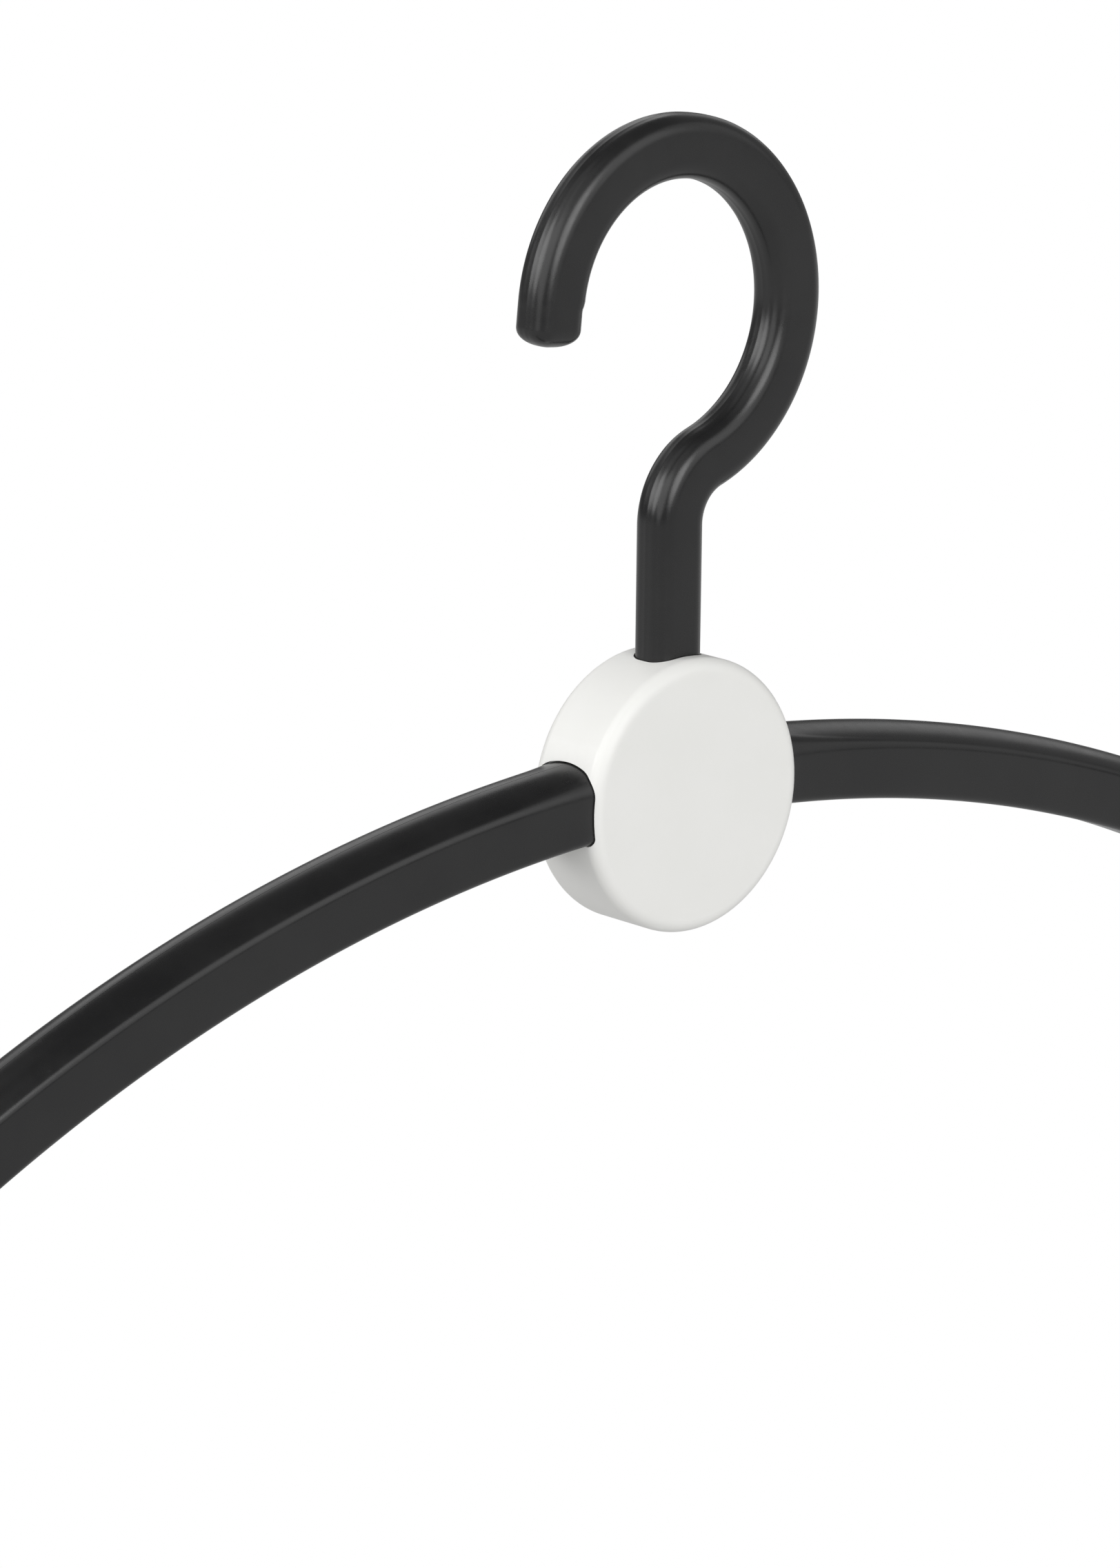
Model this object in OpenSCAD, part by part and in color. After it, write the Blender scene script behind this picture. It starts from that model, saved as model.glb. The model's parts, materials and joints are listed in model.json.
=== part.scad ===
// Clothes hanger with a round hub
//
// A black hook and two curved arms meet in a round white hub.
// Each black member has a flat tongue that lies in a channel inside the hub, where two
// screws clamp it between the hub's front cup and its rear cover.
// Each arm is a hollow pair of half shells that meet on the hanger's middle plane.
//
// Origin: centre of the hook's inner arc, where a hanging rail passes through along Y.
// +X along the right arm, -Y to the front, +Z up. Millimetres throughout.
// Shapes are drawn round the hub's centre, then from_rail() moves them to the origin.

/* [Hub] */

// Outside diameter of the hub
hub_d = 56; // [52:0.5:64]
// Thickness of the hub, front to back
hub_t = 19.3; // [18.8:0.1:22]
// Round on the hub's front and rear edges
hub_edge_r = 2.75; // [1.5:0.05:3]
// Thickness of the hub's side wall
hub_wall = 2.4; // [2:0.1:3]
// Thickness of the hub's front face
hub_face = 2.2; // [1.8:0.1:3]
// Thickness of the rear cover
cover_t = 2.2; // [2:0.1:3]
// Depth of the sockets that take the ends of the arms
socket_depth = 1.4; // [1:0.1:1.6]
// Clearance round the stem and the arms where they enter the hub
entry_gap = 0.3; // [0.1:0.05:0.5]

/* [Hook] */

// Width of the hook's section, in the plane of the hook
hook_w = 12.84; // [11:0.02:14]
// Depth of the hook's section, front to back
hook_depth = 9.7; // [8.5:0.1:11]
// Corner radius of the hook's section
hook_corner_r = 3.68; // [2:0.02:4]
// Height of the straight stem's upper end above the hub's centre
stem_top = 53.93; // [48:0.01:70]
// Radius of the neck bend, to the middle of the section
neck_r = 13.52; // [12:0.02:18]
// Angle of the neck bend
neck_a = 70.51; // [60:0.01:80]
// Radius of the loop's rising half, to the middle of the section
rise_r = 32.66; // [30:0.02:38]
// Radius of the loop's falling half, to the middle of the section
fall_r = 31.12; // [29:0.02:38]
// Angle of each half of the loop
loop_a = 122.54; // [115:0.01:126]
// Length of the straight end of the hook
tip_l = 8.35; // [6:0.01:16]
// Round on the end of the hook
tip_r = 4.6; // [2:0.1:6]

/* [Arms] */

// Distance between the ends of the two arms
span = 440; // [380:5:460]
// Depth of an arm, front to back
arm_depth = 17.2; // [15:0.1:18]
// Radius of an arm's top edge
arm_top_r = 395.84; // [380:0.02:420]
// Radius of an arm's bottom edge
arm_bottom_r = 372; // [360:0.5:405]
// Rise of the rounded crown above the flat sides
crown_h = 3.52; // [2:0.02:5]
// Round where the crown meets the flat sides
crease_r = 2.5; // [0.5:0.1:4]
// Round on an arm's bottom edges
arm_edge_r = 1.6; // [0.5:0.1:3]
// Radius of the flatter crown at an arm's root, where it enters the hub
root_crown_r = 17.7; // [14:0.1:30]
// Radius of the full round shoulders at an arm's root
root_shoulder_r = 5.2; // [3:0.1:7]
// Wall thickness of the half shells
arm_wall = 2.2; // [1.6:0.1:3]
// Gap left between two half shells on the middle plane
seam = 0.04; // [0.02:0.01:0.2]

/* [Tongues and screws] */

// Thickness of the tongues, front to back
tongue_t = 8; // [6:0.5:9]
// Height of an arm's tongue
arm_tongue_h = 10; // [8:0.5:11]
// Height of the arm tongues' centre line
arm_tongue_z = 1.8; // [1:0.1:3]
// Width of the hook's tongue
hook_tongue_w = 10; // [8:0.5:11]
// Diameter of the screws
screw_d = 3; // [2.5:0.5:3.5]
// Clearance between parts that slide together
fit = 0.1; // [0.05:0.01:0.2]

/* [Hidden] */

$fn = 96;

hub_r = hub_d / 2;
half_t = hub_t / 2;
cavity_r = hub_r - hub_wall;
socket_r = hub_r - socket_depth;
face_y = -half_t + hub_face;
cover_y = half_t - cover_t;

half_tongue = tongue_t / 2;
boss_gap = 0.05;
boss_r = 3.5;
pilot_r = screw_d / 2 + 0.02;
clear_r = screw_d / 2 + 0.2;
head_r = 2.9;
head_h = 1.7;
head_seat_y = half_t - head_h - 0.2;
screw_tip_y = face_y + 0.15;

arm_tongue_x = 7.1;
hook_tongue_bottom = -6;
hook_shoulder = 22;

// Each screw's place on the hub's face, as [x, z].
screw_at = [
    [-20, arm_tongue_z],
    [-12, arm_tongue_z],
    [0, arm_tongue_z],
    [12, arm_tongue_z],
    [20, arm_tongue_z],
    [0, 17]
];

// Centres of an arm's top and bottom edges, for the right arm, as [x, z].
arm_top_c = [-2.81, -385.63];
arm_bottom_c = [-2.88, -376.84];
arm_half = arm_depth / 2;
crown_r = (arm_half * arm_half + crown_h * crown_h) / (2 * crown_h);
arm_end_r = 7.8;
root_end_r = hub_r + 0.6;
arm_end_a = acos((span / 2 - arm_end_r - arm_bottom_c[0]) / (arm_bottom_r + arm_end_r));
bulkhead_x = hub_r + 3.5;
peg_r = 1.5;
peg_boss_r = 3.2;
peg_l = 3.2;
peg_angles = [83.2, 76, 69, 61];
peg_ring_r = arm_bottom_r + 7.2;

// The hook's path: the centre of each arc as [x, z], and where each arc starts.
neck_c = [neck_r, stem_top];
neck_end = 180 - neck_a;
rise_start = -neck_a;
rise_end = rise_start + loop_a;
neck_to_rise = neck_c + neck_r * [cos(neck_end), sin(neck_end)];
rise_c = neck_to_rise - rise_r * [cos(rise_start), sin(rise_start)];
rise_to_fall = rise_c + rise_r * [cos(rise_end), sin(rise_end)];
fall_c = rise_to_fall - fall_r * [cos(rise_end), sin(rise_end)];
fall_end = rise_end + loop_a;
tip_start = fall_c + fall_r * [cos(fall_end), sin(fall_end)];

black = [0.045, 0.045, 0.048];
white = [0.90, 0.90, 0.885];
steel = [0.62, 0.63, 0.65];

// Moves a shape drawn round the hub's centre so that the hook's inner arc is at the origin.
module from_rail() {
    translate([-fall_c[0], 0, -fall_c[1]])
        children();
}

// A rectangle centred on the origin with round corners.
module round_rect(w, h, r) {
    square([w, h - 2 * r], center = true);
    square([w - 2 * r, h], center = true);
    for (sx = [-1, 1], sy = [-1, 1]) {
        translate([sx * (w / 2 - r), sy * (h / 2 - r)])
            circle(r = r);
    }
}

// Stands a shape drawn round the Z axis up, so that its axis lies along Y.
module about_y() {
    rotate([90, 0, 0])
        children();
}

// A cylinder along Y between two stations.
module post(x, z, y0, y1, r) {
    translate([x, y1, z])
        about_y()
            cylinder(h = y1 - y0, r = r);
}

// The hub's outside.
module hub_envelope() {
    about_y()
        rotate_extrude()
            intersection() {
                round_rect(hub_d, hub_t, hub_edge_r);
                translate([0, -hub_t])
                    square([hub_d, 2 * hub_t]);
            }
}

// The socket in the hub's side wall that takes the root of the right arm.
module arm_socket() {
    difference() {
        arm_outside(root_crown_r, root_shoulder_r, -entry_gap);
        post(0, 0, -half_t, half_t, socket_r);
    }
}

// A channel rib of the hub's front cup, as a block between two corners.
module rib(x0, x1, z0, z1) {
    translate([x0, face_y - 0.5, z0])
        cube([x1 - x0, half_tongue - 0.2 - face_y + 0.5, z1 - z0]);
}

module hub_ribs() {
    hook_in = hook_tongue_w / 2 + fit;
    arm_lo = arm_tongue_z - arm_tongue_h / 2 - fit;
    arm_hi = arm_tongue_z + arm_tongue_h / 2 + fit;
    intersection() {
        union() {
            for (s = [-1, 1]) {
                x = s > 0 ? hook_in : -hook_in - 1.6;
                rib(x, x + 1.6, -8, 20);
                ax = s > 0 ? arm_tongue_x : -cavity_r;
                rib(ax, ax + cavity_r - arm_tongue_x, arm_hi, arm_hi + 1.6);
                rib(ax, ax + cavity_r - arm_tongue_x, arm_lo - 1.6, arm_lo);
            }
            rib(-hook_in, hook_in, -8, hook_tongue_bottom - fit);
        }
        post(0, 0, -half_t + 1, half_t, cavity_r + 0.5);
    }
}

module hub_front() {
    color(white)
        from_rail()
            difference() {
                union() {
                    difference() {
                        hub_envelope();
                        post(0, 0, face_y, half_t + 1, cavity_r);
                    }
                    hub_ribs();
                    for (p = screw_at) {
                        post(p[0], p[1], face_y - 0.5, -half_tongue - boss_gap, boss_r);
                    }
                    intersection() {
                        for (a = [45, 135, 225, 315]) {
                            post(24.4 * cos(a), 24.4 * sin(a), face_y - 0.5, cover_y - 0.02, 2.2);
                        }
                        post(0, 0, -half_t + 1, half_t, cavity_r + 0.5);
                    }
                }
                for (p = screw_at) {
                    post(p[0], p[1], face_y - 0.45, 0, pilot_r);
                }
                translate([0, 0, hook_shoulder])
                    linear_extrude(height = 20)
                        round_rect(hook_w + 2 * entry_gap, hook_depth + 2 * entry_gap,
                            hook_corner_r + entry_gap);
                arm_socket();
                mirror([1, 0, 0])
                    arm_socket();
                for (s = [-1, 1]) {
                    x = s > 0 ? cavity_r - 2 : -hub_r - 1;
                    translate([x, -half_tongue - fit, arm_tongue_z - arm_tongue_h / 2 - fit])
                        cube([hub_wall + 3, tongue_t + 2 * fit, arm_tongue_h + 2 * fit]);
                }
            }
}

module hub_rear_cover() {
    color(white)
        from_rail()
            difference() {
                union() {
                    intersection() {
                        hub_envelope();
                        post(0, 0, cover_y, half_t + 1, cavity_r - fit);
                    }
                    for (p = screw_at) {
                        post(p[0], p[1], half_tongue + boss_gap, cover_y + 0.5, boss_r);
                    }
                }
                for (p = screw_at) {
                    post(p[0], p[1], 0, half_t + 1, clear_r);
                    post(p[0], p[1], head_seat_y, half_t + 1, head_r + 0.2);
                }
            }
}

// One bend of the hook, from an angle a0 through a turn of da.
module hook_bend(c, r, a0, da) {
    translate([c[0], 0, c[1]])
        about_y()
            rotate_extrude(angle = da, start = a0)
                translate([r, 0])
                    round_rect(hook_w, hook_depth, hook_corner_r);
}

// The straight end of the hook, rounded off in both directions.
module hook_tip() {
    translate([tip_start[0], 0, tip_start[1]])
        rotate([0, -fall_end, 0])
            intersection() {
                linear_extrude(height = tip_l)
                    round_rect(hook_w, hook_depth, hook_corner_r);
                about_y()
                    translate([0, 0, -hook_depth])
                        linear_extrude(height = 2 * hook_depth)
                            translate([0, tip_l - 20])
                                round_rect(hook_w, 40, tip_r);
                rotate([90, 0, 90])
                    translate([0, 0, -hook_w])
                        linear_extrude(height = 2 * hook_w)
                            translate([0, tip_l - 20])
                                round_rect(hook_depth, 40, hook_corner_r);
            }
}

module hook() {
    color(black)
        from_rail()
            difference() {
                union() {
                    translate([0, 0, hook_shoulder])
                        linear_extrude(height = stem_top - hook_shoulder)
                            round_rect(hook_w, hook_depth, hook_corner_r);
                    translate([-hook_tongue_w / 2, -half_tongue, hook_tongue_bottom])
                        cube([hook_tongue_w, tongue_t, hook_shoulder - hook_tongue_bottom + 1]);
                    hook_bend(neck_c, neck_r, neck_end, neck_a);
                    hook_bend(rise_c, rise_r, rise_start, loop_a);
                    hook_bend(fall_c, fall_r, rise_end, loop_a);
                    hook_tip();
                }
                for (z = [arm_tongue_z, 17]) {
                    post(0, z, -half_tongue - 1, half_tongue + 1, clear_r);
                }
            }
}

// Sweeps a section along the right arm's top edge.
module along_top() {
    translate([arm_top_c[0], 0, arm_top_c[1]])
        about_y()
            rotate_extrude(angle = 38, start = 50)
                children();
}

// Everything above the right arm's bottom edge and between its sides, moved in by g.
module above_bottom(g) {
    translate([arm_bottom_c[0], 0, arm_bottom_c[1]])
        about_y()
            rotate_extrude(angle = 38, start = 50)
                translate([arm_bottom_r + g + 20, 0])
                    round_rect(40, 2 * (arm_half - g), max(arm_edge_r - g, 0.3));
}

// The right arm's inside, with sharp creases, a distance g below its outside.
module arm_inside(g) {
    b = arm_half - g;
    intersection() {
        along_top()
            union() {
                translate([arm_top_r - 32, -b])
                    square([32 - crown_h, 2 * b]);
                intersection() {
                    translate([arm_top_r - crown_r, 0])
                        circle(r = crown_r - g);
                    translate([arm_top_r - crown_h - 0.5, -b])
                        square([crown_h + 1, 2 * b]);
                }
            }
        above_bottom(g);
    }
}

// The right arm's outside before it is cut to length: a crown that runs into the flat sides over
// round shoulders, with every face moved in by g, or out if g is negative.
module arm_outside(crown, shoulder, g) {
    b = arm_half - g;
    shoulder_y = arm_half - shoulder;
    reach = crown - shoulder;
    shoulder_d = crown - sqrt(reach * reach - shoulder_y * shoulder_y);
    join_y = (crown - g) * shoulder_y / reach;
    intersection() {
        along_top()
            union() {
                translate([arm_top_r - 32, -b])
                    square([32 - shoulder_d, 2 * b]);
                for (s = [-1, 1]) {
                    translate([arm_top_r - shoulder_d, s * shoulder_y])
                        circle(r = shoulder - g);
                }
                intersection() {
                    translate([arm_top_r - crown, 0])
                        circle(r = crown - g);
                    translate([arm_top_r - shoulder_d - 1, -join_y])
                        square([shoulder_d + 3, 2 * join_y]);
                }
            }
        above_bottom(g);
    }
}

// Everything of the right arm on the hub's side of its round end, moved in by g.
module arm_length(g) {
    translate([arm_bottom_c[0], 0, arm_bottom_c[1]])
        about_y()
            translate([0, 0, -20])
                rotate_extrude(angle = 88 - arm_end_a, start = arm_end_a)
                    translate([arm_bottom_r - 20, 0])
                        square([60, 40]);
    post(arm_end_x(), arm_end_z(), -20, 20, arm_end_r - g);
}

function arm_end_x() = arm_bottom_c[0] + (arm_bottom_r + arm_end_r) * cos(arm_end_a);
function arm_end_z() = arm_bottom_c[1] + (arm_bottom_r + arm_end_r) * sin(arm_end_a);

module arm_tongue() {
    translate([arm_tongue_x, -half_tongue, arm_tongue_z - arm_tongue_h / 2])
        cube([bulkhead_x - arm_tongue_x - 1, tongue_t, arm_tongue_h]);
}

// The right arm's hollow, shut by a bulkhead at the hub.
module arm_hollow() {
    intersection() {
        arm_inside(arm_wall);
        arm_length(arm_wall);
        translate([bulkhead_x, -20, -100])
            cube([span, 40, 140]);
    }
}

module peg_posts(y0, y1, r) {
    for (a = peg_angles) {
        x = arm_bottom_c[0] + peg_ring_r * cos(a);
        z = arm_bottom_c[1] + peg_ring_r * sin(a);
        post(x, z, y0, y1, r);
    }
}

module arm_screw_holes() {
    for (x = [12, 20]) {
        post(x, arm_tongue_z, -half_tongue - 1, half_tongue + 1, clear_r);
    }
}

// Both half shells of the right arm, whole and hollow, with their peg bosses.
module arm_whole() {
    difference() {
        union() {
            difference() {
                intersection() {
                    arm_outside(crown_r, crease_r, 0);
                    arm_length(0);
                }
                post(0, 0, -half_t, half_t, socket_r + 0.05);
                difference() {
                    post(0, 0, -half_t, half_t, root_end_r);
                    arm_outside(root_crown_r, root_shoulder_r, 0);
                }
                arm_hollow();
            }
            arm_tongue();
            peg_posts(-arm_half + 1, arm_half - 1, peg_boss_r);
        }
        arm_screw_holes();
    }
}

module arm_front_half() {
    difference() {
        intersection() {
            arm_whole();
            translate([0, -20, -150])
                cube([span, 20 - seam / 2, 200]);
        }
        peg_posts(-peg_l - 0.3, 1, peg_r + 0.05);
    }
}

module arm_rear_half() {
    intersection() {
        arm_whole();
        translate([0, seam / 2, -150])
            cube([span, 20, 200]);
    }
    peg_posts(-peg_l, 1, peg_r);
}

module arm_left_front() {
    color(black)
        from_rail()
            mirror([1, 0, 0])
                arm_front_half();
}

module arm_left_rear() {
    color(black)
        from_rail()
            mirror([1, 0, 0])
                arm_rear_half();
}

module arm_right_front() {
    color(black)
        from_rail()
            arm_front_half();
}

module arm_right_rear() {
    color(black)
        from_rail()
            arm_rear_half();
}

module screw() {
    difference() {
        union() {
            post(0, 0, screw_tip_y + 1.2, head_seat_y + 0.5, screw_d / 2);
            translate([0, screw_tip_y + 1.2, 0])
                about_y()
                    cylinder(h = 1.2, r1 = screw_d / 2, r2 = 0.6);
            post(0, 0, head_seat_y, head_seat_y + head_h, head_r);
        }
        for (a = [0, 90]) {
            translate([0, head_seat_y + head_h, 0])
                rotate([0, a, 0])
                    cube([3.4, 2.2, 0.9], center = true);
        }
    }
}

module hub_screws() {
    color(steel)
        from_rail()
            for (p = screw_at) {
                translate([p[0], 0, p[1]])
                    screw();
            }
}

hub_front();
hub_rear_cover();
hook();
arm_left_front();
arm_left_rear();
arm_right_front();
arm_right_rear();
hub_screws();
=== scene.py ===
import json
import math

import bmesh
import bpy
from mathutils import Matrix, Vector


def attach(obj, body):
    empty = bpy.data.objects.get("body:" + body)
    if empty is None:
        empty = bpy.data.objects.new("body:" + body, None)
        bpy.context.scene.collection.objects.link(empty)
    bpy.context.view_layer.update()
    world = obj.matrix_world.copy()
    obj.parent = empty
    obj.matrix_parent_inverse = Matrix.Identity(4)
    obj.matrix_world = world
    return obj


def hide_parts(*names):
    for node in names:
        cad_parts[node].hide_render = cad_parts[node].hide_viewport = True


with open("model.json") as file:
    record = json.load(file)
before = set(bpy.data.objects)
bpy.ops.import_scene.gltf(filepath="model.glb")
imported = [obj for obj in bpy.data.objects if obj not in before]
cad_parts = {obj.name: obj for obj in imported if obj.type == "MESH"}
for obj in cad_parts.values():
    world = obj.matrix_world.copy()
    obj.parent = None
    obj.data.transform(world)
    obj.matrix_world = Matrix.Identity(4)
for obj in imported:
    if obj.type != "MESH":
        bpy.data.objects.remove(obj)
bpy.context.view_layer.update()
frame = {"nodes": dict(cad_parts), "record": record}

# The hub's centre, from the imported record. Shapes below are in millimetres round it, with x to
# the right, y to the rear and z up.
MOUNTS = {m["name"]: m for m in frame["record"]["mounts"]}
HUB = Vector(MOUNTS["front_face"]["pos_m"])
HUB.y = 0.0


def place(x, y, z):
    """A point in millimetres from the hub's centre, in the row frame."""
    return HUB + Vector((x, y, z)) / 1000.0


# ---------------------------------------------------------------- mesh helpers

WELD_M = 1e-7
HOLE_R, HOLE_SIDES = 1.7, 48
CUTTER_LENGTH = 30.0


def solid_from_rings(name, rings):
    """A closed solid through rings of points, all the same length, with both ends shut."""
    bm = bmesh.new()
    loops = [[bm.verts.new(p) for p in ring] for ring in rings]
    n = len(loops[0])
    for a, b in zip(loops[:-1], loops[1:]):
        for i in range(n):
            j = (i + 1) % n
            bm.faces.new((a[i], a[j], b[j], b[i]))
    caps = [bm.faces.new(list(reversed(loops[0]))), bm.faces.new(loops[-1])]
    bmesh.ops.triangulate(bm, faces=caps)
    bmesh.ops.remove_doubles(bm, verts=bm.verts, dist=WELD_M)
    bmesh.ops.dissolve_degenerate(bm, edges=bm.edges, dist=WELD_M)
    bmesh.ops.recalc_face_normals(bm, faces=bm.faces)
    if bm.calc_volume(signed=True) < 0:
        bmesh.ops.reverse_faces(bm, faces=bm.faces)
    me = bpy.data.meshes.new(name)
    bm.to_mesh(me)
    bm.free()
    ob = bpy.data.objects.new(name, me)
    bpy.context.scene.collection.objects.link(ob)
    return ob


def drill(ob, spots):
    """Cuts round holes along y through a piece, at (x, z) in millimetres from the hub's centre."""
    bm = bmesh.new()
    for x, z in spots:
        made = bmesh.ops.create_cone(
            bm, cap_ends=True, segments=HOLE_SIDES, radius1=HOLE_R / 1000,
            radius2=HOLE_R / 1000, depth=CUTTER_LENGTH / 1000)
        bmesh.ops.rotate(
            bm, verts=made["verts"], cent=(0, 0, 0),
            matrix=Matrix.Rotation(math.radians(90), 3, "X"))
        bmesh.ops.translate(bm, verts=made["verts"], vec=place(x, 0, z))
    me = bpy.data.meshes.new("cutter")
    bm.to_mesh(me)
    bm.free()
    cutter = bpy.data.objects.new("cutter", me)
    bpy.context.scene.collection.objects.link(cutter)
    mod = ob.modifiers.new("drill", "BOOLEAN")
    mod.object = cutter
    mod.operation = "DIFFERENCE"
    mod.solver = "EXACT"
    bpy.context.view_layer.update()
    dg = bpy.context.evaluated_depsgraph_get()
    cut = bpy.data.meshes.new_from_object(ob.evaluated_get(dg))
    ob.modifiers.remove(mod)
    ob.data = cut
    bpy.data.objects.remove(cutter)


def black_piece(name, node, rings, crease_deg, holes):
    """A moulded piece with its screw holes, which stands in for one of the CAD's nodes."""
    ob = solid_from_rings(name, rings)
    drill(ob, holes)
    ob.data.polygons.foreach_set("use_smooth", [True] * len(ob.data.polygons))
    ob.data.set_sharp_from_angle(angle=math.radians(crease_deg))
    ob.data.update()
    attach(ob, "root")
    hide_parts(node)
    return ob


# ---------------------------------------------------------------- hook

# Half sizes of the section across the path and along y, its corner, and the fine parting ridge
# along the middle plane.
HOOK_W, HOOK_D, HOOK_CORNER = 6.42, 4.85, 3.68
CORNER_STEPS = 10
RIDGE, RIDGE_HALF_W = 0.04, 0.22

# The path: a stem, the neck's bend, then the loop in two arcs of equal angle, in degrees.
STEM_TOP, STEM_STEPS = 53.93, 12
NECK_R, NECK_A = 13.52, 70.51
RISE_R, FALL_R, LOOP_A = 32.66, 31.12, 122.54
PATH_STEP = 2.0

# A straight end with a superelliptic cap. The inner side steps in just before it.
TIP_L, TIP_CAP, TIP_POWER = 8.35, 3.71, 2.14
TIP_STRAIGHT_STEPS, TIP_CAP_STEPS, TIP_LEAST = 8, 26, 0.015
WAIST_DEPTH, WAIST_FROM, WAIST_LENGTH = 0.49, 9.0, 1.6

# The tongue inside the hub reaches up to the shoulder that the stem stands on.
TONGUE_HALF_W, TONGUE_HALF_T, TONGUE_CORNER = 5.0, 4.0, 0.3
TONGUE_Z, SHOULDER_Z, SHOULDER_DROP = -6.0, 22.0, 0.01
HOOK_HOLES = ((0, 1.8), (0, 17))
HOOK_CREASE = 50


def arc(cx, cy, r, a0, a1):
    """Points on an arc, angles in degrees, both ends included."""
    return [
        (cx + r * math.cos(math.radians(a0 + (a1 - a0) * i / CORNER_STEPS)),
         cy + r * math.sin(math.radians(a0 + (a1 - a0) * i / CORNER_STEPS)))
        for i in range(CORNER_STEPS + 1)
    ]


def round_rect(w_in, w_out, half_d, r, ridge):
    """A rounded rectangle as (across, y) points, with a fine ridge on the middle plane."""
    rise = min(RIDGE_HALF_W, (half_d - r) / 2)
    pts = [(w_in + ridge, 0.0), (w_in, rise)]
    pts += arc(w_in - r, half_d - r, r, 0, 90)
    pts += arc(-w_out + r, half_d - r, r, 90, 180)
    pts += [(-w_out, rise), (-w_out - ridge, 0.0), (-w_out, -rise)]
    pts += arc(-w_out + r, -half_d + r, r, 180, 270)
    pts += arc(w_in - r, -half_d + r, r, 270, 360)
    pts += [(w_in, -rise)]
    return pts


def hook_path():
    """(x, z, heading in degrees) along the middle of the hook, from the shoulder to the tip."""
    out = [
        (0.0, SHOULDER_Z + (STEM_TOP - SHOULDER_Z) * i / STEM_STEPS, 90.0)
        for i in range(STEM_STEPS + 1)]
    x, z, h = out[-1]
    for r, total, turn in ((NECK_R, NECK_A, -1), (RISE_R, LOOP_A, 1), (FALL_R, LOOP_A, 1)):
        cx = x - turn * r * math.sin(math.radians(h))
        cz = z + turn * r * math.cos(math.radians(h))
        steps = int(total / PATH_STEP)
        for i in range(1, steps + 1):
            a = h + turn * total * i / steps
            out.append((
                cx + turn * r * math.sin(math.radians(a)),
                cz - turn * r * math.cos(math.radians(a)), a))
        x, z, h = out[-1]
    return out


def waist(left):
    """How far the inner side has stepped in, at a distance left before the end of the tip."""
    t = max(0.0, min(1.0, (WAIST_FROM - left) / WAIST_LENGTH))
    return WAIST_DEPTH * (t * t * (3 - 2 * t))


def hook_ring(x, z, h, w_in, w_out, half_d, r, ridge):
    """One section of the hook, square to heading h at (x, z)."""
    nx, nz = -math.sin(math.radians(h)), math.cos(math.radians(h))
    return [
        place(x + nx * a, y, z + nz * a) for a, y in round_rect(w_in, w_out, half_d, r, ridge)]


def make_hook():
    rings = [
        hook_ring(0, z, 90, TONGUE_HALF_W, TONGUE_HALF_W, TONGUE_HALF_T, TONGUE_CORNER, 0.0)
        for z in (TONGUE_Z, SHOULDER_Z - SHOULDER_DROP)]
    path = hook_path()
    lengths = [0.0]
    for a, b in zip(path[:-1], path[1:]):
        lengths.append(lengths[-1] + math.hypot(b[0] - a[0], b[1] - a[1]))
    total = lengths[-1] + TIP_L
    for (x, z, h), s in zip(path, lengths):
        rings.append(hook_ring(
            x, z, h, HOOK_W - waist(total - s), HOOK_W, HOOK_D, HOOK_CORNER, RIDGE))

    x, z, h = path[-1]
    ahead_x, ahead_z = math.cos(math.radians(h)), math.sin(math.radians(h))
    straight = TIP_L - TIP_CAP
    for i in range(1, TIP_STRAIGHT_STEPS + 1):
        t = straight * i / TIP_STRAIGHT_STEPS
        rings.append(hook_ring(
            x + ahead_x * t, z + ahead_z * t, h,
            HOOK_W - waist(TIP_L - t), HOOK_W, HOOK_D, HOOK_CORNER, RIDGE))

    w_in = HOOK_W - WAIST_DEPTH
    half, mid = (w_in + HOOK_W) / 2, (w_in - HOOK_W) / 2
    for i in range(1, TIP_CAP_STEPS + 1):
        u = math.sin(math.pi / 2 * i / TIP_CAP_STEPS)
        k = max((1 - u ** TIP_POWER) ** (1 / TIP_POWER), TIP_LEAST)
        t = straight + TIP_CAP * u
        rings.append(hook_ring(
            x + ahead_x * t, z + ahead_z * t, h,
            mid + half * k, half * k - mid, HOOK_D * k, HOOK_CORNER * k, RIDGE * k * k))
    return black_piece("hook_body", "hook", rings, HOOK_CREASE, HOOK_HOLES)


# ---------------------------------------------------------------- arms

# The arm's top and bottom edges are two circles, seen from the front.
TOP_C, TOP_R = (-2.81, -385.63), 395.84
BOT_C, BOT_R = (-2.88, -376.84), 372.0

# Half the arm's depth and the height of its crown at one station, and what each of them loses or
# gains per 100 mm outwards.
TAPER_X = 28.0
HALF_DEPTH, DEPTH_TAPER = 8.607, 0.509
CROWN_RISE, RISE_TAPER = 3.518, 0.311
CREASE_R, EDGE_R = 2.5, 1.6

# Each arm ends in a socket in the hub's side wall, just off its floor. The crown is flatter there
# and changes to its outer shape over the fade.
ROOT_R = 26.65
ROOT_CROWN_R, SHOULDER_R, ROOT_FADE = 17.7, 5.2, 13.0

# The two half shells face each other this far off the middle plane, with a chamfer on each edge.
SEAM_HALF, SEAM_EDGE = 0.015, 0.05

# The arm's tongue, from its end inside the hub.
TONGUE_X, TONGUE_TOP, TONGUE_BOTTOM = 7.1, 6.8, -3.2
FACE_STEPS = (0.33, 0.67)
ARM_HOLES_X, ARM_HOLES_Z = (12, 20), 1.8

# Sections are square to the arm from the even station out to the end, which is a rounded cap. The
# cap stops short of a full quarter turn and closes less along y.
EVEN_X, ARM_END_X = 38.0, 216.4
END_LEN, END_TURN, END_CLOSE_Y = 7.6, 0.975, 0.42

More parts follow.
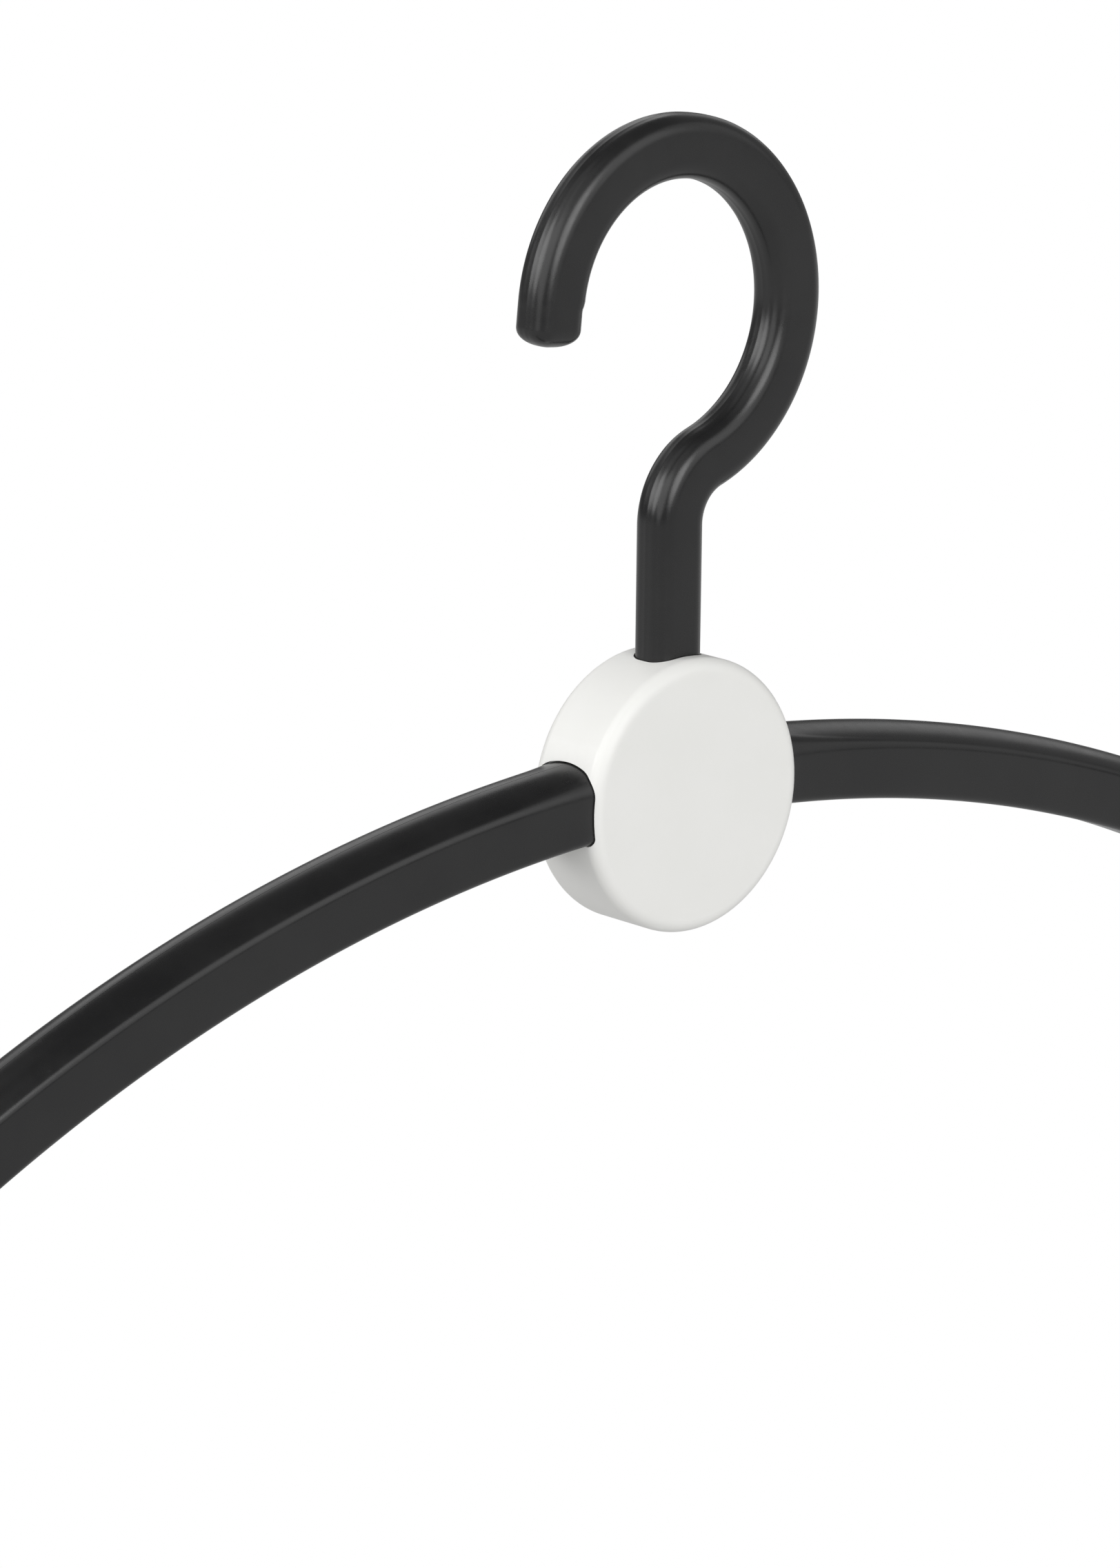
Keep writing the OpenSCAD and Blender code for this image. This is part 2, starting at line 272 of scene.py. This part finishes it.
CROWN_STEPS, SHOULDER_STEPS, SIDE_STEPS, EDGE_STEPS, FLOOR_STEPS = 20, 12, 6, 9, 5
ROOT_RINGS, ARM_RINGS, END_RINGS = 6, 72, 16
ARM_CREASE = 40


def crown_to_side(crown, shoulder, b):
    """A crown of one radius running into the side at y = b over a tangent round shoulder."""
    y = b - shoulder
    reach = crown - shoulder
    d = crown - math.sqrt(reach ** 2 - y ** 2)
    join = math.asin(y / reach)
    pts = []
    for i in range(1, CROWN_STEPS + 1):
        a = join * i / CROWN_STEPS
        pts.append((crown - crown * math.cos(a), crown * math.sin(a)))
    for i in range(1, SHOULDER_STEPS + 1):
        a = join + (math.pi / 2 - join) * i / SHOULDER_STEPS
        pts.append((d - shoulder * math.cos(a), y + shoulder * math.sin(a)))
    return pts


def half_section(x):
    """Half of the arm's section at station x, as (depth below the top edge, y).

    Away from the hub the crown meets the flat side over a small round. At the hub the crown is
    flatter and the round is a full shoulder. Also returned are the direction that depth is
    measured against and the arm's full depth there.
    """
    u = Vector(((x - TOP_C[0]) / TOP_R, 0.0))
    u.y = math.sqrt(1 - u.x ** 2)
    dx, dz = TOP_C[0] - BOT_C[0], TOP_C[1] - BOT_C[1]
    ud = u.x * dx + u.y * dz
    t = TOP_R + ud - math.sqrt(ud * ud - dx * dx - dz * dz + BOT_R ** 2)
    s = (x - TAPER_X) / 100.0
    b = HALF_DEPTH - DEPTH_TAPER * s
    rise = CROWN_RISE + RISE_TAPER * s
    creased = crown_to_side((b * b + rise * rise) / (2 * rise), CREASE_R, b)
    rounded = crown_to_side(ROOT_CROWN_R, SHOULDER_R, b)
    w = math.exp(-max(x - ROOT_R, 0.0) / ROOT_FADE)
    inner = SEAM_HALF + SEAM_EDGE
    pts = [(SEAM_EDGE, SEAM_HALF), (0.0, inner)]
    for (d0, y0), (d1, y1) in zip(creased, rounded):
        pts.append((d0 + (d1 - d0) * w, max(y0 + (y1 - y0) * w, inner)))
    side_top = pts[-1][0]
    for i in range(1, SIDE_STEPS + 1):
        pts.append((side_top + (t - EDGE_R - side_top) * i / SIDE_STEPS, b))
    for i in range(1, EDGE_STEPS + 1):
        a = math.pi / 2 * i / EDGE_STEPS
        pts.append((t - EDGE_R + EDGE_R * math.sin(a), b - EDGE_R + EDGE_R * math.cos(a)))
    for i in range(1, FLOOR_STEPS + 1):
        pts.append((t, b - EDGE_R + (inner - b + EDGE_R) * i / FLOOR_STEPS))
    pts.append((t - SEAM_EDGE, SEAM_HALF))
    return u, pts, t


def arm_point(x, i, shrink=1.0, shrink_y=1.0, ahead=0.0):
    """Point i of the section at station x, drawn in towards its middle and moved ahead."""
    u, pts, t = half_section(x)
    d, y = pts[i]
    d = t / 2 + (d - t / 2) * shrink
    y = SEAM_HALF + (y - SEAM_HALF) * shrink_y
    px = TOP_C[0] + (TOP_R - d) * u.x + u.y * ahead
    pz = TOP_C[1] + (TOP_R - d) * u.y - u.x * ahead
    return px, y, pz


def meets_hub(i):
    """The station at which line i of the arm comes to its end in the socket, by bisection."""
    lo, hi = 15.0, 40.0
    for _ in range(40):
        mid = (lo + hi) / 2
        x, _, z = arm_point(mid, i)
        if math.hypot(x, z) < ROOT_R:
            lo = mid
        else:
            hi = mid
    return hi


def tongue_point(i, n):
    """Where line i of the arm's n lies round the tongue's half section, as (y, z)."""
    crown = CROWN_STEPS + 2
    side = crown + SHOULDER_STEPS + SIDE_STEPS
    if i < crown:
        return SEAM_HALF + (TONGUE_HALF_T - SEAM_HALF) * i / (crown - 1), TONGUE_TOP
    if i < side:
        drop = TONGUE_TOP - TONGUE_BOTTOM
        return TONGUE_HALF_T, TONGUE_TOP - drop * (i - crown + 1) / (side - crown + 1)
    f = (i - side) / (n - 1 - side)
    return TONGUE_HALF_T + (SEAM_HALF - TONGUE_HALF_T) * f, TONGUE_BOTTOM


def on_root(y, z):
    """The point of the arm's root face at y and z."""
    return math.sqrt(ROOT_R ** 2 - z * z), y, z


def make_arm_half(node, side, facing):
    """One half shell. Side is -1 for the left arm, facing is -1 for the front half."""
    lines = range(len(half_section(EVEN_X)[1]))
    tongue = [tongue_point(i, len(lines)) for i in lines]
    start = [meets_hub(i) for i in lines]
    coped = [arm_point(start[i], i) for i in lines]
    rings = [[(TONGUE_X, y, z) for y, z in tongue], [on_root(y, z) for y, z in tongue]]
    for f in FACE_STEPS:
        rings.append([
            on_root(y0 + (y1 - y0) * f, z0 + (z1 - z0) * f)
            for (y0, z0), (_, y1, z1) in zip(tongue, coped)])
    rings.append(coped)
    for k in range(1, ROOT_RINGS + 1):
        rings.append([
            arm_point(start[i] + (EVEN_X - start[i]) * k / ROOT_RINGS, i) for i in lines])
    for k in range(1, ARM_RINGS + 1):
        x = EVEN_X + (ARM_END_X - EVEN_X) * k / ARM_RINGS
        rings.append([arm_point(x, i) for i in lines])
    for k in range(1, END_RINGS + 1):
        a = math.pi / 2 * k / END_RINGS * END_TURN
        close_y = 1 - END_CLOSE_Y * (1 - math.cos(a))
        rings.append([
            arm_point(ARM_END_X, i, math.cos(a), close_y, END_LEN * math.sin(a)) for i in lines])
    rings = [[place(side * x, facing * y, z) for x, y, z in ring] for ring in rings]
    holes = [(side * x, ARM_HOLES_Z) for x in ARM_HOLES_X]
    return black_piece(node + "_shell", node, rings, ARM_CREASE, holes)


# ---------------------------------------------------------------- materials

class Nodes:
    """Short names for building a node tree."""

    def __init__(self, tree):
        self.t = tree
        tree.nodes.clear()

    def add(self, kind, **props):
        n = self.t.nodes.new(kind)
        for k, v in props.items():
            setattr(n, k, v)
        return n

    def link(self, a, b):
        self.t.links.new(a, b)

    def noise(self, vec, scale, detail, rough=0.5):
        n = self.add("ShaderNodeTexNoise")
        n.inputs["Scale"].default_value = scale
        n.inputs["Detail"].default_value = detail
        n.inputs["Roughness"].default_value = rough
        self.link(vec, n.inputs["Vector"])
        return n.outputs["Fac"]

    def remap(self, val, lo, hi, out_lo, out_hi):
        n = self.add("ShaderNodeMapRange")
        for k, v in zip(("From Min", "From Max", "To Min", "To Max"), (lo, hi, out_lo, out_hi)):
            n.inputs[k].default_value = v
        self.link(val, n.inputs["Value"])
        return n.outputs["Result"]

    def math(self, op, a, b):
        n = self.add("ShaderNodeMath", operation=op)
        for k, v in enumerate((a, b)):
            if isinstance(v, (int, float)):
                n.inputs[k].default_value = v
            else:
                self.link(v, n.inputs[k])
        return n.outputs[0]

    def mix(self, fac, a, b):
        n = self.add("ShaderNodeMix", data_type="RGBA")
        self.link(fac, n.inputs["Factor"])
        for k, v in ((6, a), (7, b)):
            if isinstance(v, tuple):
                n.inputs[k].default_value = v
            else:
                self.link(v, n.inputs[k])
        return n.outputs[2]

    def bump(self, height, strength, depth_mm, normal=None):
        n = self.add("ShaderNodeBump")
        n.inputs["Strength"].default_value = strength
        n.inputs["Distance"].default_value = depth_mm / 1000.0
        self.link(height, n.inputs["Height"])
        if normal:
            self.link(normal, n.inputs["Normal"])
        return n.outputs[0]

    def principled(self, colour, rough, normal):
        n = self.add("ShaderNodeBsdfPrincipled")
        self.link(colour, n.inputs["Base Color"])
        self.link(rough, n.inputs["Roughness"])
        self.link(normal, n.inputs["Normal"])
        self.link(n.outputs[0], self.add("ShaderNodeOutputMaterial").inputs[0])
        return n

    def split(self, lit, seen, output):
        """Shows the camera one shader and everything else another."""
        pick = self.add("ShaderNodeMixShader")
        self.link(self.add("ShaderNodeLightPath").outputs["Is Camera Ray"], pick.inputs[0])
        self.link(lit.outputs[0], pick.inputs[1])
        self.link(seen.outputs[0], pick.inputs[2])
        self.link(pick.outputs[0], self.add(output).inputs[0])


def new_material(name):
    m = bpy.data.materials.new(name)
    m.use_nodes = True
    return m, Nodes(m.node_tree)


# Noise scales are in cycles per metre: slow changes of tone, mottling of about 2.4 mm, scuffs.
CLOUD_SCALE, MOTTLE_SCALE, SCUFF_SCALE = 55.0, 420.0, 1500.0
SCUFF_STRETCH = (0.12, 1.0, 1.0)

# The parts of the noise and of the mesh's pointiness that count as a scuff or a rubbed edge.
SCUFF_FROM, SCUFF_FULL = 0.66, 0.74
EDGE_FROM, EDGE_FULL = 0.505, 0.56

# How far tone, mottling, scuffs and rubbed edges shift the roughness.
CLOUD_ROUGH, MOTTLE_ROUGH, SCUFF_ROUGH, EDGE_ROUGH = 0.035, 0.02, 0.05, 0.06
GRAIN_STRENGTH, WAVE_STRENGTH = 0.35, 0.5
PLASTIC_IOR = 1.49
SUB_RADIUS, SUB_SCALE_M = (1.0, 1.0, 0.9), 0.0008


def plastic(
        name, low, high, worn, rough, grain_mm, grain_depth, wave_depth, edge_amount, sub=0.0):
    """Moulded plastic: fine spark-eroded grain, uneven sheen, faint scuffs and rubbed edges."""
    m, g = new_material(name)
    vec = g.add("ShaderNodeTexCoord").outputs["Object"]
    cloud = g.noise(vec, CLOUD_SCALE, 4.0)
    mottle = g.noise(vec, MOTTLE_SCALE, 3.0)
    grain = g.noise(vec, 1000.0 / grain_mm, 2.0, 0.6)
    stretch = g.add("ShaderNodeMapping")
    stretch.inputs["Scale"].default_value = SCUFF_STRETCH
    g.link(vec, stretch.inputs["Vector"])
    streaks = g.noise(stretch.outputs[0], SCUFF_SCALE, 2.0)
    scuff = g.remap(streaks, SCUFF_FROM, SCUFF_FULL, 0.0, 1.0)
    point = g.add("ShaderNodeNewGeometry").outputs["Pointiness"]
    edge = g.remap(point, EDGE_FROM, EDGE_FULL, 0.0, edge_amount)
    edge = g.math("MULTIPLY", edge, g.remap(mottle, 0.35, 0.65, 0.5, 1.0))
    colour = g.mix(g.remap(cloud, 0.35, 0.65, 0.0, 1.0), low, high)
    colour = g.mix(edge, colour, worn)
    r = g.remap(cloud, 0.3, 0.7, rough - CLOUD_ROUGH, rough + CLOUD_ROUGH)
    r = g.math("ADD", r, g.remap(mottle, 0.3, 0.7, -MOTTLE_ROUGH, MOTTLE_ROUGH))
    r = g.math("ADD", r, g.math("MULTIPLY", scuff, SCUFF_ROUGH))
    r = g.math("SUBTRACT", r, g.math("MULTIPLY", edge, EDGE_ROUGH))
    wave = g.bump(mottle, WAVE_STRENGTH, wave_depth)
    shader = g.principled(colour, r, g.bump(grain, GRAIN_STRENGTH, grain_depth, wave))
    shader.inputs["IOR"].default_value = PLASTIC_IOR
    if sub:
        shader.inputs["Subsurface Weight"].default_value = sub
        shader.inputs["Subsurface Radius"].default_value = SUB_RADIUS
        shader.inputs["Subsurface Scale"].default_value = SUB_SCALE_M
    return m


def zinc(name):
    """Zinc-plated steel with a fine uneven sheen."""
    m, g = new_material(name)
    vec = g.add("ShaderNodeTexCoord").outputs["Object"]
    cloud = g.noise(vec, 700.0, 4.0)
    fine = g.noise(vec, 5200.0, 2.0)
    shader = g.principled(
        g.mix(cloud, (0.50, 0.51, 0.54, 1), (0.66, 0.66, 0.67, 1)),
        g.remap(fine, 0.3, 0.7, 0.24, 0.40), g.bump(fine, 0.3, 0.02))
    shader.inputs["Metallic"].default_value = 1.0
    return m


def dress(ob, material):
    ob.data.materials.clear()
    ob.data.materials.append(material)


BLACK = plastic(
    "black_plastic", low=(0.0085, 0.0085, 0.0088, 1), high=(0.0115, 0.0114, 0.0116, 1),
    worn=(0.030, 0.030, 0.030, 1), rough=0.28, grain_mm=0.32, grain_depth=0.012,
    wave_depth=0.012, edge_amount=0.5)
WHITE = plastic(
    "hub_plastic", low=(0.783, 0.783, 0.758, 1), high=(0.797, 0.795, 0.773, 1),
    worn=(0.84, 0.84, 0.82, 1), rough=0.42, grain_mm=0.35, grain_depth=0.010,
    wave_depth=0.008, edge_amount=0.4, sub=0.08)
STEEL = zinc("screw_steel")

pieces = [make_hook()]
for side_name, side in (("left", -1), ("right", 1)):
    for half_name, facing in (("front", -1), ("rear", 1)):
        pieces.append(make_arm_half(f"arm_{side_name}_{half_name}", side, facing))
for piece in pieces:
    dress(piece, BLACK)
for node in ("hub_front", "hub_rear_cover"):
    dress(frame["nodes"][node], WHITE)
dress(frame["nodes"]["hub_screws"], STEEL)

# ---------------------------------------------------------------- floor, light and camera

scene = bpy.context.scene
scene.view_settings.view_transform = "Standard"

# The floor and the surroundings are plain white to the camera and dimmer to the object.
FLOOR_Z, FLOOR_SIZE = -0.62, 14.0
FLOOR_GLOW, AMBIENT = 0.614, 0.105

bpy.ops.mesh.primitive_plane_add(size=FLOOR_SIZE, location=(0, 0, FLOOR_Z))
floor = bpy.context.object
floor.name = "floor"
pale, g = new_material("pale_floor")
glow = g.add("ShaderNodeEmission")
glow.inputs["Strength"].default_value = FLOOR_GLOW
g.split(glow, g.add("ShaderNodeEmission"), "ShaderNodeOutputMaterial")
dress(floor, pale)

world = bpy.data.worlds.new("studio")
scene.world = world
world.use_nodes = True
g = Nodes(world.node_tree)
dim, plain = g.add("ShaderNodeBackground"), g.add("ShaderNodeBackground")
for background in (dim, plain):
    background.inputs["Color"].default_value = (1, 1, 1, 1)
dim.inputs["Strength"].default_value = AMBIENT
g.split(dim, plain, "ShaderNodeOutputWorld")

# Round softboxes on a sphere round the hub: azimuth (0 in front of the hub, 90 to its right),
# elevation, watts, and diameter in metres.
LIGHT_DISTANCE = 2.0
SOFTBOXES = (
    (-15, 25, 18.0, 1.3), (-120, 25, 17.0, 1.3), (-75, 25, 12.9, 1.8), (15, 25, 7.6, 1.8),
    (-60, 52, 3.9, 1.8), (-120, 52, 3.6, 1.8), (45, 25, 3.6, 1.8), (90, 20, 2.9, 2.6),
    (-180, 25, 2.2, 1.0), (150, 25, 2.1, 1.0), (120, 25, 1.3, 1.0))


def softbox(azimuth, elevation, watts, size):
    a, e = math.radians(azimuth), math.radians(elevation)
    way = Vector((math.sin(a) * math.cos(e), -math.cos(a) * math.cos(e), math.sin(e)))
    data = bpy.data.lights.new("softbox", "AREA")
    data.shape = "DISK"
    data.size = size
    data.energy = watts
    ob = bpy.data.objects.new("softbox", data)
    ob.location = HUB + way * LIGHT_DISTANCE
    ob.rotation_mode = "QUATERNION"
    ob.rotation_quaternion = (-way).to_track_quat("-Z", "Y")
    ob.visible_camera = False
    scene.collection.objects.link(ob)


for azimuth, elevation, watts, size in SOFTBOXES:
    softbox(azimuth, elevation, watts, size)

# The camera's pose round the hub, in degrees and millimetres, and its lens for a 36 mm sensor.
CAM_AZ, CAM_EL, CAM_ROLL = math.radians(41.557), math.radians(13.946), math.radians(0.630)
CAM_RIGHT, CAM_UP, CAM_AWAY = 21.195, -0.847, 1281.57
CAM_LENS, CAM_CLIP_M = 146.57, 50.0

fwd = Vector((
    math.sin(CAM_AZ) * math.cos(CAM_EL), math.cos(CAM_AZ) * math.cos(CAM_EL), -math.sin(CAM_EL)))
level = Vector((math.cos(CAM_AZ), -math.sin(CAM_AZ), 0.0))
upright = level.cross(fwd)
right = math.cos(CAM_ROLL) * level + math.sin(CAM_ROLL) * upright
up = math.cos(CAM_ROLL) * upright - math.sin(CAM_ROLL) * level
cam_data = bpy.data.cameras.new("camera")
cam_data.lens = CAM_LENS
cam_data.clip_end = CAM_CLIP_M
cam = bpy.data.objects.new("camera", cam_data)
scene.collection.objects.link(cam)
cam.location = HUB - (right * CAM_RIGHT + up * CAM_UP + fwd * CAM_AWAY) / 1000.0
cam.rotation_mode = "QUATERNION"
cam.rotation_quaternion = Matrix((right, up, -fwd)).transposed().to_quaternion()
scene.camera = cam
